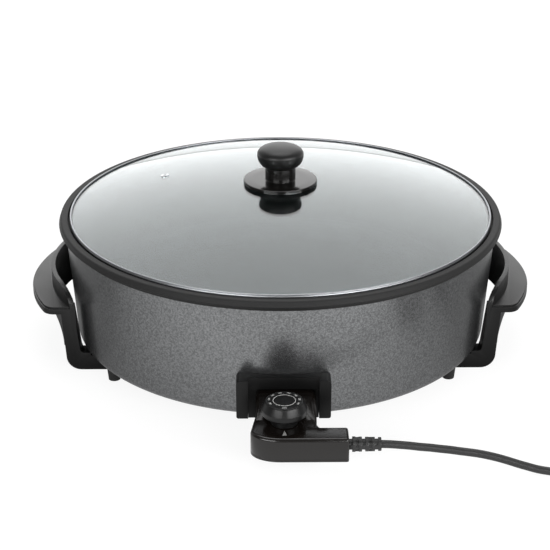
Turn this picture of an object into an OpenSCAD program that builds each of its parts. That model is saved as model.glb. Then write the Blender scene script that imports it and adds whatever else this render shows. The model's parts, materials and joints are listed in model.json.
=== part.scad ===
// Electric skillet: a round cast pan with a sealed heater, a loose glass lid
// that rests in its rim, two handles moulded in one with the legs, and a
// temperature control that plugs onto the pan and carries the mains cord.
// Millimetres, +Z up. Z = 0 is the worktop and the control is at the front, -Y.

/* [Pan] */
// Diameter over the rim
rim_d = 430; // [380:5:480]
// Height of the rim's top over the worktop
pan_h = 135; // [120:1:160]
// Height of the pan's base over the worktop
stand_h = 15; // [13:0.5:20]
// Height of the rim's outer band
rim_h = 6; // [4:0.5:9]
// How far the rim stands out from the wall
rim_lip = 6; // [4:0.5:9]
// Width of the rim's top, from its outside to the lid's seat
rim_w = 8.7; // [6:0.1:11]
// Depth of the lid's seat below the rim's top
seat_depth = 4; // [3:0.5:6]
// Width of the ledge that the lid rests on
seat_w = 3.4; // [2.5:0.1:5]
// How much the wall leans in from the rim to the base
wall_draft = 7; // [3:0.5:12]
// Thickness of the wall at its foot
wall_t = 4; // [3:0.5:6]
// Radius of the outer edge of the base
base_fillet = 10; // [6:1:14]
// Radius of the inside corner between wall and floor
floor_fillet = 25; // [12:1:35]
// Thickness of the floor over the recess
floor_t = 5; // [4:0.5:8]
// Depth of the recess inside the base ring
ring_h = 6; // [4:0.5:7]
// Width of the base ring's flat
ring_w = 17; // [14:1:24]

/* [Heater] */
// Radius of the heater's loop
heater_r = 145; // [120:1:160]
// Diameter of the heater's steel tube
heater_d = 6.5; // [6:0.1:8]
// Distance between the two terminal pins
pin_pitch = 26; // [24:1:30]
// Diameter of a terminal pin
pin_d = 6; // [5:0.1:6.5]
// Length of pin that stands out of the socket plate
pin_len = 14; // [10:1:18]
// Diameter of the heater's two cold ends
lead_d = 7.6; // [7:0.1:8.4]

/* [Handles] */
// Width of the grip plate, from the guard's inner face to its outer edge
grip_w = 23; // [16:0.5:28]
// Room for fingers between the pan and the guard
finger_gap = 17; // [12:0.5:22]
// Length of a handle, front to back
handle_len = 158; // [130:2:180]
// Height of the grip plate's top over the worktop
grip_z = 66; // [58:1:80]
// Depth of the grip plate's edge
grip_h = 7; // [5:0.5:10]
// Inner radius of the finger guard
guard_r = 132; // [126:1:138]
// Thickness of the finger guard
guard_t = 4; // [3:0.5:5]
// How far the guard stands up above the grip plate
guard_h = 18; // [12:1:24]
// How far the guard hangs below the grip plate's top
skirt_h = 27; // [18:1:34]
// Width of a leg at its top, seen from the front
leg_w = 11.8; // [10:0.2:16]
// How much wider a leg is at its foot
leg_spread = 1.6; // [0:0.2:4]
// How far a leg's inner side is set out from the guard's
leg_set = 2.2; // [0:0.2:3]
// Depth of a leg, front to back
leg_t = 16; // [12:1:22]
// How much a leg leans in from the grip to the toe
leg_lean = 4.6; // [0:0.2:6]
// Height of the toe that runs in under the pan
toe_h = 18; // [17:1:22]
// Radius of a leg's outer corner on the worktop
toe_r = 14; // [8:1:16]
// Wall thickness of the handle moulding
shell_t = 2.5; // [2:0.1:3.5]

/* [Lid] */
// Gap between the lid's band and the pan's mouth
lid_gap = 1.6; // [0.8:0.1:2.5]
// Thickness of the glass
glass_t = 3.6; // [3:0.1:5]
// Rise of the glass from its edge to the middle
dome_h = 27.5; // [15:0.1:35]
// Thickness of the steel band's sheet
band_t = 0.5; // [0.4:0.1:1.2]
// How far the band laps over the glass
band_lap = 0.8; // [0.6:0.1:4]
// Diameter of the knob's skirt
skirt_d = 71.5; // [60:0.5:85]
// Height of the knob's skirt
skirt_t = 3.5; // [3:0.1:7]
// Diameter of the knob's neck
neck_d = 29.5; // [22:0.5:36]
// Height of the knob's neck over its skirt
neck_h = 13.5; // [10:0.5:24]
// Diameter of the knob's head
knob_d = 45; // [38:0.5:56]
// Height of the knob's head
knob_h = 20.5; // [14:0.5:28]
// Distance of the steam vent from the middle
vent_r = 123; // [90:1:160]
// Direction of the steam vent, in degrees from +X
vent_a = 159; // [0:1:359]
// Diameter of the hole in the glass for the vent's eyelet
vent_d = 6.4; // [5:0.1:8]

/* [Socket] */
// Width of the socket shroud over its two ears
socket_w = 83; // [76:1:92]
// Width of one ear
ear_w = 10.4; // [8:0.2:12]
// Top of the shroud over the worktop
socket_top = 61; // [58:1:70]
// Bottom of the ears over the worktop
ear_z = 24; // [20:1:30]
// How far the ears stand out in front of the socket plate
ear_out = 10.5; // [8:0.5:14]
// Height of the bar over the control's nose
bar_h = 11; // [8:0.5:14]
// Thickness of the socket plate that carries the pins
plate_t = 2.5; // [2:0.1:4]
// Gap between the pan's foot and the front of the socket plate
plate_out = 5.5; // [5:0.5:8]

/* [Control] */
// Length of the control from its nose to its front
control_len = 67; // [60:1:76]
// Height of the control's bottom over the worktop
control_z = 14; // [8:0.5:15]
// Height of the control's body
body_h = 22; // [20:0.5:28]
// Depth of the arm, front to back
arm_t = 22; // [20:0.5:28]
// Reach of the arm to the right of the middle
arm_x = 54.5; // [48:0.5:70]
// Reach of the body to the left of the middle
elbow_x = 29; // [27:0.5:34]
// Width of the body's rounded outer corner
elbow_r = 26; // [18:1:32]
// Depth of the body's rounded outer corner
elbow_in = 17; // [14:1:26]
// Left side of the nose
nose_l = 24.5; // [23.5:0.5:26]
// Right side of the nose
nose_r = 28; // [24:0.5:28.5]
// Height of the nose's shoulders over the worktop
nose_top = 48; // [44:0.5:49]
// Wall thickness of the control's housing
case_t = 2.2; // [1.8:0.1:3]
// Thickness of the bottom cover
cover_t = 2.4; // [2:0.1:3]
// Distance of the dial's axis behind the nose's end
dial_in = 38; // [36:0.5:42]
// Diameter of the dial over its skirt
dial_d = 39; // [34:0.5:42]
// Diameter of the dial's top face
dial_top_d = 34; // [30:0.5:36]
// Height of the dial's wide part
dial_h = 13; // [10:0.5:15]
// Height of the skirt round the dial's foot
dial_skirt_h = 4; // [3:0.5:6]
// Diameter of the dial's collar
collar_d = 23.5; // [20:0.5:28]
// Height of the dial's collar
collar_h = 8.4; // [6:0.2:10]
// Diameter of the dial's spindle
spindle_d = 6; // [5:0.5:7]
// Diameter of the sensor probe
probe_d = 5; // [4:0.1:5.4]
// How far the probe reaches into the pan's base
probe_in = 38; // [26:1:50]

/* [Cord] */
// Diameter of the mains cord
cord_d = 7; // [6:0.1:8]
// Length of the strain relief outside the housing
boot_len = 27.5; // [22:0.5:40]
// Diameter over the strain relief's rings
boot_d = 13.2; // [11:0.2:16]
// Diameter of a plug pin
plug_pin_d = 4.8; // [4:0.1:4.8]
// Distance between the plug's pins
plug_pitch = 19; // [18:0.5:20]
// Length of a plug pin
plug_pin_len = 19; // [17:0.5:20]
// Diameter of the plug's face
plug_d = 35; // [33:0.5:37]

/* [Hidden] */
$fn = 96;

black = "#1c1c1d";
steel = "#c9ccd0";
hull_fn = 32;          // facets of rounded mouldings
fit = 0.05;            // radial clearance of a running fit
gap = 0.4;             // clearance between parts of different bodies
eps = 0.01;

// Pan profile
rim_r = rim_d / 2;
wall_top_r = rim_r - rim_lip;
foot_r = wall_top_r - wall_draft;
recess_z = stand_h + ring_h;
floor_z = recess_z + floor_t;
wall_z = stand_h + base_fillet;
rim_z = pan_h - rim_h;
wall_top_z = rim_z - 5;
draft_a = atan(wall_draft / (wall_top_z - wall_z));
mouth_r = rim_r - rim_w;
seat_z = pan_h - seat_depth;
ledge_r = mouth_r - seat_w;
inner_foot_r = foot_r - wall_t;
ring_out_r = foot_r - base_fillet;
ring_in_r = ring_out_r - ring_w;
function wall_r(z) = foot_r + (z - wall_z) * tan(draft_a);

// Heater leads and terminal pins lie in one plane with the probe
pin_x = pin_pitch / 2;
pin_z = recess_z;
heater_cover = 5.5;    // metal under the heater's axis
cast_gap = 0.1;        // film between the cast pan and the heater in it

// Socket plane and the depth of the control in front of it
plate_y = foot_r + plate_out;
nose_y = plate_y + gap;
front_y = plate_y + 0.5 + control_len;
lead_end_y = foot_r + 1;
pin_hole_r = pin_d / 2 + 2;
probe_hole_r = probe_d / 2 + gap;
probe_tip_y = foot_r - probe_in;
seat_gap = 0.2;        // clearance between the shroud's back and the pan's wall
lug_x = 21;
lug_z = (ear_z + socket_top) / 2 - 1;
lug_r = 4.5;
screw_r = 1.5;

// Middle of the footprint: the control in front, the pan's rim behind
axis_y = (front_y - rim_r) / 2;

// Handles
handle_x = wall_r(grip_z) + finger_gap - guard_r;
handle_y = handle_len / 2;
grip_r = guard_r + grip_w;
wall_gap = 0.6;        // clearance between the legs and the pan's wall
leg_x = handle_x + sqrt(pow(guard_r, 2) - handle_y * handle_y) + leg_set;
grip_corner_r = 12;    // outer corners of the grip plate
step_w = 1.4;          // narrow step round the top of the grip plate
step_h = 1.6;
rib_w = 2.2;
arch_r = 20;           // arch under the guard, between the legs
leg_inner_r = 4;
leg_in_y = handle_y - leg_t;
toe_screw_y = handle_y - leg_t / 2;
toe_screw_r = ring_in_r + 6;
toe_screw_x = sqrt(pow(toe_screw_r, 2) - toe_screw_y * toe_screw_y);
toe_end_x = toe_screw_x - 9;
toe_step_r = foot_r - 2.5;
handle_screw_r = 2;
handle_screw_up = 7;
handle_head_r = 4;
handle_head_z = 4.5;   // top of the recess for a screw's head
foot_a = 31.5;
foot_ring_r = ring_out_r - 5;
foot_top_r = 7;
foot_bottom_r = 5.6;

// Lid
lid_r = mouth_r - lid_gap;
glass_r = lid_r - band_t - 0.1;
band_z = seat_z + 0.3;
glass_edge_z = band_z + band_t + 0.1 + glass_t;
dome_r = (pow(glass_r, 2) + pow(dome_h, 2)) / (2 * dome_h);
glass_top_z = glass_edge_z + dome_h;
function dome_z(r) = glass_top_z - (dome_r - sqrt(dome_r * dome_r - r * r));
skirt_z = glass_top_z + 0.05;
neck_z = skirt_z + skirt_t;
head_z = neck_z + neck_h;
lid_screw_r = 2;
lid_hole_r = 3.2;
neck_fillet = 1.5;

// Socket shroud
socket_x = socket_w / 2;
ear_x = socket_x - ear_w;
ear_y = plate_y + ear_out;
bar_y = plate_y + 5;
pocket_top = socket_top - bar_h;
plate_z = ear_z - 5;

// Control
case_z = control_z + cover_t;
deck_z = control_z + body_h;
nose_back = nose_y + 22; // front of the nose's level top
nose_foot = nose_back + 13; // where the nose's shoulders come down to the deck
nose_round = 5;
top_round = 3;         // rounding of the body's top edge
nook_r = 9;            // hollow corner between the nose and the arm
pointer_w = 5;
pointer_len = 8.5;
pointer_in = 0.4;      // depth of the pointer's recess
dial_y = nose_y + dial_in;
collar_z = deck_z + 0.4;
dial_z = collar_z + collar_h;
dial_top = dial_z + dial_h;
arm_y = front_y - arm_t / 2;
boot_z = control_z + body_h / 2;
sleeve_r = pin_d / 2 + 1.2;
sleeve_len = 20;
probe_tail = 22;       // length of the probe inside the control
cover_screw_len = 10;
post_r = 3;
posts = [[-18, front_y - 28], [37, arm_y], [nose_r - case_t - 3.4, nose_y + 15]];

// Cord route on the worktop, in the row's frame, up to its coil, and the tail
cord_r = cord_d / 2;
boot_taper = 0.18;     // each ring of the strain relief is this much smaller than the last
route = [[82, -234, 25], [98, -234, 24], [115, -234, 22], [132, -234, 20],
    [150, -235, 18], [166, -236, 16], [182, -238, 13], [194, -240, 10],
    [206, -242, 7], [218, -244, 4.5], [232, -246, 3.5], [250, -247, 3.5],
    [270, -247, 3.5], [286, -247, 3.5]];
tail = [[330, -203, 26], [330, -192, 25.5], [330, -180, 23.5], [330, -168, 20.5],
    [330, -156, 18.3], [330, -144, 17.5]];
coil_at = [290, -207];
coil_r = 40;
coil_turns = 3.25;
coil_h = (coil_turns + 1) * cord_d;
tie_t = 1.2;
tie_w = 8;
plug_at = tail[len(tail) - 1];
plug_neck = 16;
plug_taper = 18;
plug_face = 14;
plug_socket = 8;       // length of pin held in the plug's body
plug_root_r = plug_pin_d / 2 - 0.5;

// ---- shared shapes ----

// Points of an arc about [x, y], from angle a0 to a1
function arc(x, y, r, a0, a1, n = 8) =
    [for (i = [0:n]) let (a = a0 + (a1 - a0) * i / n) [x + r * cos(a), y + r * sin(a)]];

// Everything is drawn about the pan's axis and then moved over the footprint
module on_axis() translate([0, axis_y, 0]) children();

// Cylinder along Y from y0 towards the front by a length, at [x, z]
module front_rod(x, y0, z, r, length)
    translate([x, -y0, z]) rotate([90, 0, 0]) cylinder(r = r, h = length);

// Outer half of the pan's profile, from the axis to the rim
function outer_profile(grow = 0) = concat(
    [[0, stand_h]], [[ring_out_r, stand_h - grow]],
    arc(ring_out_r, wall_z, base_fillet + grow, -90, -draft_a),
    [[wall_top_r + grow, wall_top_z], [wall_top_r + rim_lip * 0.35 + grow, wall_top_z + 3]],
    arc(rim_r - 1.2 + grow, rim_z + 1.2, 1.2, -80, 0, 3),
    arc(rim_r - 3.4 + grow, pan_h - 2.4, 2.4, 12, 90, 5));

// The heater's loop and its two thicker cold ends, which run out to the front
module heater_path(tube_r, lead_r) {
    end_a = asin(pin_x / heater_r);
    rotate([0, 0, end_a - 90]) rotate_extrude(angle = 360 - 2 * end_a)
        translate([heater_r, pin_z]) circle(r = tube_r, $fn = 24);
    for (s = [-1, 1])
        front_rod(s * pin_x, heater_r - lead_r - 0.5, pin_z, lead_r,
            lead_end_y - heater_r + lead_r + 0.5);
}

// ---- pan and base ----

module pan() on_axis() color("#4e5052") difference() {
    union() {
        rotate_extrude($fn = 180) polygon(concat(
            [[0, recess_z]],
            [[heater_r - 8, recess_z], [heater_r - 5, recess_z - heater_cover],
                [heater_r + 5, recess_z - heater_cover], [heater_r + 8, recess_z]],
            [[ring_in_r - 3, recess_z], [ring_in_r, stand_h]],
            [for (i = [1:len(outer_profile()) - 1]) outer_profile()[i]],
            arc(mouth_r + 0.9, pan_h - 0.9, 0.9, 90, 180, 3),
            [[mouth_r, seat_z], [ledge_r, seat_z]],
            arc(inner_foot_r - floor_fillet, floor_z + floor_fillet, floor_fillet,
                -draft_a, -90, 10),
            [[0, floor_z]]));
        // block under the floor that houses the heater's leads and the probe
        translate([-pin_x - 6, -ring_in_r - 2, recess_z - heater_cover])
            cube([2 * pin_x + 12, ring_in_r + 8 - heater_r, heater_cover + 1]);
        for (s = [-1, 1])
            front_rod(s * lug_x, wall_r(lug_z) - 4, lug_z, lug_r,
                plate_y - plate_t - wall_r(lug_z) + 4);
    }
    heater_path(heater_d / 2 + cast_gap, lead_d / 2 + cast_gap);
    front_rod(0, probe_tip_y - 1, pin_z, probe_hole_r, probe_in + 6);
    for (s = [-1, 1])
        front_rod(s * lug_x, wall_r(lug_z) - 1.2, lug_z, screw_r, 12);
    for (s = [-1, 1], t = [-1, 1])
        translate([s * toe_screw_x, t * toe_screw_y, stand_h - 1])
            cylinder(r = handle_screw_r, h = handle_screw_up + 1.5);
    for (i = [0:3]) foot_place(i) translate([0, 0, stand_h - 1])
        cylinder(r = screw_r, h = 7);
}

module heating_element() on_axis() color("#8a8580")
    heater_path(heater_d / 2, lead_d / 2);

module terminal_pins() on_axis() color(steel)
    for (s = [-1, 1]) {
        front_rod(s * pin_x, lead_end_y, pin_z, pin_d / 2, plate_y + pin_len - 1 - lead_end_y);
        translate([s * pin_x, -plate_y - pin_len + 1, pin_z]) rotate([90, 0, 0])
            cylinder(r1 = pin_d / 2, r2 = pin_d / 2 - 1, h = 1, $fn = 48);
    }

module pin_insulators() on_axis() color("white")
    for (s = [-1, 1]) difference() {
        union() {
            front_rod(s * pin_x, lead_end_y, pin_z, pin_hole_r - fit, plate_y - lead_end_y);
            front_rod(s * pin_x, lead_end_y, pin_z, pin_hole_r + 1,
                plate_y - plate_t - 0.1 - lead_end_y);
        }
        front_rod(s * pin_x, lead_end_y - 1, pin_z, pin_d / 2 + fit, plate_y);
    }

// Front view of the shroud: a bar with an ear hanging at each end
module shroud_outline() {
    r = 4;
    polygon(concat(
        arc(socket_x - r, socket_top - r, r, 0, 90, 6),
        arc(r - socket_x, socket_top - r, r, 90, 180, 6),
        arc(2 - socket_x, ear_z + 2, 2, 180, 270, 4),
        [[-ear_x, ear_z], [-ear_x, plate_z], [ear_x, plate_z], [ear_x, ear_z]],
        arc(socket_x - 2, ear_z + 2, 2, 270, 360, 4)));
}

module socket_shroud() on_axis() color(black) difference() {
    translate([0, -wall_r(ear_z) + 14, 0]) rotate([90, 0, 0])
        linear_extrude(ear_y - wall_r(ear_z) + 14) shroud_outline();
    // the pan's wall, which the shroud's back follows
    rotate_extrude($fn = 180) polygon(concat([[0, 0], [ring_out_r, 0]], outer_profile(seat_gap),
        [[0, pan_h]]));
    // recess in front of the bar
    translate([-ear_x, -ear_y - 1, 0]) cube([2 * ear_x, ear_y - bar_y + 1, pan_h]);
    // pocket for the control's nose
    translate([-ear_x, -bar_y - 1, 0]) cube([2 * ear_x, bar_y + 1 - plate_y, pocket_top]);
    // hollow behind the plate
    translate([-ear_x, plate_t - plate_y, plate_z - 1])
        cube([2 * ear_x, 20, pocket_top - plate_z + 1]);
    for (s = [-1, 1]) {
        front_rod(s * pin_x, 0, pin_z, pin_hole_r, ear_y);
        front_rod(s * lug_x, 0, lug_z, screw_r + 0.2, ear_y);
        front_rod(s * lug_x, plate_y - 1.3, lug_z, 3.2, 5);
    }
    front_rod(0, 0, pin_z, probe_hole_r + 0.6, ear_y);
}

module shroud_screws() on_axis() color(steel)
    for (s = [-1, 1]) {
        front_rod(s * lug_x, wall_r(lug_z) - 1, lug_z, screw_r - fit,
            plate_y - 1.2 - wall_r(lug_z) + 1);
        front_rod(s * lug_x, plate_y - 1.25, lug_z, 2.8, 1.2);
    }

module foot_place(i)
    rotate([0, 0, [foot_a, 180 - foot_a, 180 + foot_a, -foot_a][i]])
        translate([foot_ring_r, 0, 0]) children();

module rubber_feet() on_axis() color("#2a2a2a")
    for (i = [0:3]) foot_place(i) difference() {
        cylinder(r1 = foot_bottom_r, r2 = foot_top_r, h = stand_h - 0.05, $fn = 48);
        translate([0, 0, -1]) cylinder(r = 3.4, h = 6);
        translate([0, 0, -1]) cylinder(r = screw_r + fit, h = stand_h + 2);
    }

module foot_screws() on_axis() color(steel)
    for (i = [0:3]) foot_place(i) {
        translate([0, 0, 3]) cylinder(r = 2.9, h = 1.95);
        translate([0, 0, 4]) cylinder(r = screw_r - fit, h = stand_h);
    }

// ---- handles ----

// Plan of the band between two radii about the grip's centre, cut at its ends
module band_plan(r_in, r_out, half) intersection() {
    difference() {
        circle(r = r_out, $fn = 180);
        circle(r = r_in, $fn = 180);
    }
    translate([r_in / 2, -half]) square([r_out, 2 * half]);
}

// The same with its outer corners rounded
module grip_plan(inset) {
    out_r = grip_r - inset;
    half = handle_y - inset;
    corner_y = half - grip_corner_r;
    corner_x = sqrt(pow(out_r - grip_corner_r, 2) - corner_y * corner_y);
    intersection() {
        band_plan(guard_r, out_r, half);
        union() {
            polygon([[0, 0], [2 * corner_x, -2 * corner_y], [2 * corner_x, 2 * corner_y]]);
            translate([0, -half]) square([corner_x, 2 * half]);
            for (t = [-1, 1]) translate([corner_x, t * corner_y]) circle(r = grip_corner_r);
        }
    }
}

// Side view of the guard: high in the middle, an arch between the legs below
module guard_side() {
    low = grip_z - skirt_h;
    fall = handle_y * 0.29;
    rise = guard_h + 1;
    polygon(concat(
        [for (i = [0:6]) [-handle_y + fall * (1 - sin(90 - 15 * i)),
            grip_z - 1 + rise * cos(90 - 15 * i)]],
        [for (i = [0:6]) [handle_y - fall * (1 - sin(15 * i)),
            grip_z - 1 + rise * cos(15 * i)]],
        [[handle_y, low - arch_r], [leg_in_y, low - arch_r]],
        arc(leg_in_y - arch_r, low - arch_r, arch_r, 0, 90, 8),
        arc(arch_r - leg_in_y, low - arch_r, arch_r, 90, 180, 8),
        [[-handle_y, low - arch_r]]));
}

// Front view of a leg with its toe, in X from the leg's inner side
module leg_front() {
    inner = leg_x - leg_lean;
    top = grip_z - 2;
    polygon(concat(
        [[leg_x + leg_w, top], [leg_x, top]],
        arc(inner - leg_inner_r, toe_h + leg_inner_r, leg_inner_r, 0, -90, 5),
        [[toe_end_x, toe_h], [toe_end_x, 0]],
        arc(inner + leg_w + leg_spread - toe_r, toe_r, toe_r, -90, 0, 8)));
}

module handle_right() on_axis() color(black) handle();
module handle_left() on_axis() color(black) mirror([1, 0, 0]) handle();

module handle() difference() {
    union() {
        // grip plate, with a narrow step round its top edge
        translate([handle_x, 0, 0]) {
            translate([0, 0, grip_z - grip_h]) linear_extrude(grip_h - step_h) grip_plan(0);
            translate([0, 0, grip_z - grip_h + 1]) linear_extrude(grip_h - 1) grip_plan(step_w);
            intersection() {
                translate([0, 0, grip_z - skirt_h - arch_r])
                    linear_extrude(skirt_h + guard_h + arch_r)
                        band_plan(guard_r, guard_r + guard_t, handle_y);
                rotate([90, 0, 90]) linear_extrude(grip_r) guard_side();
            }
        }
        for (s = [-1, 1])
            translate([0, s * (handle_y - leg_t / 2) + leg_t / 2, 0])
                rotate([90, 0, 0]) linear_extrude(leg_t) leg_front();
    }
    // hollow underside of the grip, with ribs left standing
    translate([handle_x, 0, grip_z - grip_h - 1]) linear_extrude(grip_h + 1 - shell_t)
        difference() {
            band_plan(guard_r + guard_t + 0.5, grip_r - shell_t - 1, leg_in_y - 2);
            for (a = [-21:10.5:21]) rotate([0, 0, a]) translate([guard_r, -rib_w / 2])
                square([grip_w, rib_w]);
        }
    // the toes pass under the pan's base, and the legs stay clear of its wall
    translate([0, 0, stand_h]) cylinder(r = toe_step_r, h = toe_h, $fn = 180);
    rotate_extrude($fn = 180) polygon([[0, toe_h], [foot_r + wall_gap, toe_h],
        [wall_r(wall_top_z) + wall_gap, wall_top_z], [0, wall_top_z]]);
    for (s = [-1, 1]) translate([toe_screw_x, s * toe_screw_y, 0]) {
        translate([0, 0, -1]) cylinder(r = handle_screw_r + 0.3, h = stand_h + 2);
        translate([0, 0, -1]) cylinder(r = handle_head_r + 0.4, h = handle_head_z + 1);
    }
}

module handle_screws() on_axis() color(steel)
    for (s = [-1, 1], t = [-1, 1])
        translate([s * toe_screw_x, t * toe_screw_y, 0]) {
            translate([0, 0, handle_head_z - 2.9]) cylinder(r = handle_head_r, h = 2.85);
            translate([0, 0, handle_head_z - 0.5]) cylinder(r = handle_screw_r - fit,
                h = stand_h - handle_head_z + 0.5 + handle_screw_up);
        }

// ---- lid ----

module vent_place()
    rotate([0, 0, vent_a]) translate([vent_r, 0, dome_z(vent_r)])
        rotate([0, asin(vent_r / dome_r), 0]) children();

module lid_glass() on_axis() color("#9fb4b0", 0.4) difference() {
    steps = 20;
    rotate_extrude($fn = 180) polygon(concat(
        [for (i = [0:steps]) let (r = glass_r * i / steps) [r, dome_z(r)]],
        [for (i = [steps:-1:0]) let (r = glass_r * i / steps) [r, dome_z(r) - glass_t]]));
    translate([0, 0, glass_top_z - glass_t - 1]) cylinder(r = lid_hole_r, h = glass_t + 2);
    vent_place() translate([0, 0, -glass_t - 2]) cylinder(r = vent_d / 2, h = glass_t + 4);
}

// Steel band folded round the edge of the glass
module lid_band() on_axis() color(steel) {
    top = glass_edge_z + 0.1;
    in_top = dome_z(glass_r - band_lap) + 0.1;
    rotate_extrude($fn = 180) polygon(concat(
        [[glass_r - band_lap, band_z], [lid_r - 1, band_z], [lid_r, band_z + 1]],
        [[lid_r, top - 0.4], [lid_r - 0.3, top + 0.5]],
        [[lid_r - band_t, top + band_t], [glass_r - band_lap, in_top + band_t],
            [glass_r - band_lap, in_top], [glass_r + 0.1, top],
            [glass_r + 0.1, band_z + band_t], [glass_r - band_lap, band_z + band_t - 0.1]]));
}

// Two flanges and a tube through the glass, drawn in the vent's own frame
module vent_eyelet() on_axis() color(steel) vent_place()
    rotate_extrude() {
        r = vent_d / 2 - 0.1;
        polygon([[1.6, -glass_t - 0.8], [r + 1.3, -glass_t - 0.8], [r + 1.3, -glass_t - 0.1],
            [r, -glass_t - 0.1], [r, 0.1], [r + 1.3, 0.1], [r + 1, 0.6], [r - 0.4, 0.9],
            [1.6, 0.5]]);
    }

// Round skirt and neck, moulded in one
module knob_base() on_axis() color(black) difference() {
    r = skirt_d / 2;
    n = neck_d / 2;
    rotate_extrude() polygon(concat(
        [for (i = [0:6]) [(r - 0.6) * i / 6, dome_z((r - 0.6) * i / 6) + 0.05]],
        [[r, dome_z(r) + 0.7]],
        arc(r - 0.9, neck_z - 1, 0.9, 0, 90, 4),
        arc(n + neck_fillet, neck_z + neck_fillet, neck_fillet, -90, -180, 6),
        [[n, head_z - 0.8], [n - 1, head_z], [0, head_z]]));
    translate([0, 0, skirt_z - 1]) cylinder(r = lid_screw_r + 0.3, h = skirt_t + neck_h + 2);
}

// Mushroom head: a bowl below its widest line, a low dome above it, and a
// blind hole for the screw
module knob_head() on_axis() color(black) difference() {
    r = knob_d / 2;
    n = neck_d / 2 + 0.4;
    low = knob_h * 0.56;
    rotate_extrude() polygon(concat(
        [[0, head_z + 0.05]],
        [for (i = [0:6]) [n + (r - n) * sin(15 * i),
            head_z + 0.05 + low * (1 - cos(15 * i))]],
        [for (i = [1:12]) [r * pow(cos(7.5 * i), 0.8),
            head_z + 0.05 + low + (knob_h - low) * sin(7.5 * i)]]));
    translate([0, 0, head_z - 1]) cylinder(r = lid_screw_r, h = knob_h * 0.55 + 1);
}

module knob_washer() on_axis() color("#3a3a3a")
    translate([0, 0, glass_top_z - glass_t - 1.65]) difference() {
        cylinder(r = 8, h = 1.6);
        translate([0, 0, -1]) cylinder(r = lid_screw_r + 0.1, h = 4);
    }

module knob_screw() on_axis() color(steel) {
    under = glass_top_z - glass_t - 1.7;
    translate([0, 0, under - 2.4]) cylinder(r1 = 3.6, r2 = 4.6, h = 2.4, $fn = 48);
    translate([0, 0, under - 0.1])
        cylinder(r = lid_screw_r - fit, h = head_z - under + knob_h * 0.45);
}

// ---- control ----

// The body's big outer corner at the front left, and the straight side behind it
elbow_side = concat(
    [for (i = [0:12]) [-elbow_x + elbow_r * (1 - sin(7.5 * i)),
        front_y - elbow_in * (1 - cos(7.5 * i))]],
    [[-nose_l, nose_back + 6]]);

module elbow_plan() mirror([0, 1, 0]) polygon(concat(
    [[nose_r, nose_back - 1], [nose_r, front_y]], elbow_side, [[-nose_l, nose_back - 1]]));

// The elbow and the nose behind it
module body_plan() mirror([0, 1, 0]) polygon(concat(
    [[nose_r, nose_y], [nose_r, front_y]], elbow_side, [[-nose_l, nose_y]]));

module arm_plan() mirror([0, 1, 0]) polygon(concat(
    [[0, front_y]], [[0, front_y - arm_t]],
    arc(arm_x - 2, front_y - arm_t + 2, 2, -90, 0, 4),
    arc(arm_x - 2, front_y - 2, 2, 0, 90, 4)));

// Extrusion of a plan with its top edge rounded
module soft_top(h, r) {
    linear_extrude(h - r) children();
    hull() {
        translate([0, 0, h - r - eps]) linear_extrude(eps) children();
        translate([0, 0, h - r * 0.45]) linear_extrude(eps) offset(delta = -r * 0.16) children();
        translate([0, 0, h - r * 0.1]) linear_extrude(eps) offset(delta = -r * 0.55) children();
        translate([0, 0, h - eps]) linear_extrude(eps) offset(delta = -r) children();
    }
}

// Raised nose: level over the contacts, with shoulders that come down to the
// deck on each side of the dial
module nose_hump() hull() {
    for (x = [nose_round - nose_l, nose_r - nose_round],
            y = [nose_y, nose_back - nose_round])
        front_rod(x, y, nose_top - nose_round, nose_round, eps, $fn = hull_fn);
    for (x = [-nose_l, nose_r - eps], y = [nose_y, nose_foot])
        translate([x, -y - eps, case_z]) cube([eps, eps, deck_z - case_z - 1]);
}

module control_housing() on_axis() color(black) difference() {
    shell_h = body_h - cover_t;
    hollow_x = nose_l + nose_r - 2 * case_t;
    union() {
        translate([0, 0, case_z]) {
            soft_top(shell_h, top_round) elbow_plan();
            soft_top(shell_h, top_round) arm_plan();
            linear_extrude(shell_h - top_round) body_plan();
            // hollow corner between the nose and the arm
            linear_extrude(shell_h - top_round) difference() {
                translate([nose_r - 1, arm_t - front_y - 1]) square(nook_r + 1);
                translate([nose_r + nook_r, arm_t - front_y + nook_r]) circle(r = nook_r);
            }
        }
        nose_hump();
    }
    // inside of the body and of the arm
    translate([0, 0, case_z - 1]) linear_extrude(shell_h - case_t + 1) difference() {
        union() {
            offset(delta = -case_t) elbow_plan();
            offset(delta = -case_t) arm_plan();
            translate([case_t - nose_l, -nose_back - 5])
                square([hollow_x, nose_back + 5 - nose_y - case_t]);
        }
        for (p = posts) translate([p[0], -p[1]]) circle(r = post_r);
    }
    // inside of the nose
    difference() {
        translate([case_t - nose_l, nose_round + case_t - nose_back, case_z - 1])
            cube([hollow_x, nose_back - nose_y - nose_round - 2 * case_t,
                nose_top - case_t - nose_round - case_z + 3]);
        for (p = posts) translate([p[0], -p[1], 0]) cylinder(r = post_r, h = nose_top);
    }
    // pocket round the dial
    translate([0, -dial_y, dial_z - 0.5]) cylinder(r = dial_d / 2 + 0.6, h = 40);
    translate([0, -dial_y, deck_z]) cylinder(r = collar_d / 2 + 0.6, h = 40);
    translate([0, -dial_y, case_z]) cylinder(r = spindle_d / 2 + fit, h = body_h);
    // ways in for the pins and the probe
    for (s = [-1, 1]) front_rod(s * pin_x, nose_y - 1, pin_z, pin_d / 2 + gap, 8);
    front_rod(0, nose_y - 1, pin_z, probe_d / 2 + fit, 8);
    for (p = posts) translate([p[0], -p[1], case_z - 1])
        cylinder(r = screw_r, h = cover_screw_len);
    // way out for the cord
    translate([arm_x - case_t - 2, -arm_y, boot_z]) rotate([0, 90, 0])
        cylinder(r = boot_d / 2 - 1.5, h = 8);
    // pointer, sunk into the deck in front of the dial
    translate([0, -dial_y - collar_d / 2 - 1.5, deck_z - pointer_in]) linear_extrude(1)
        polygon([[0, 0], [-pointer_w / 2, -pointer_len], [pointer_w / 2, -pointer_len]]);
}

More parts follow.
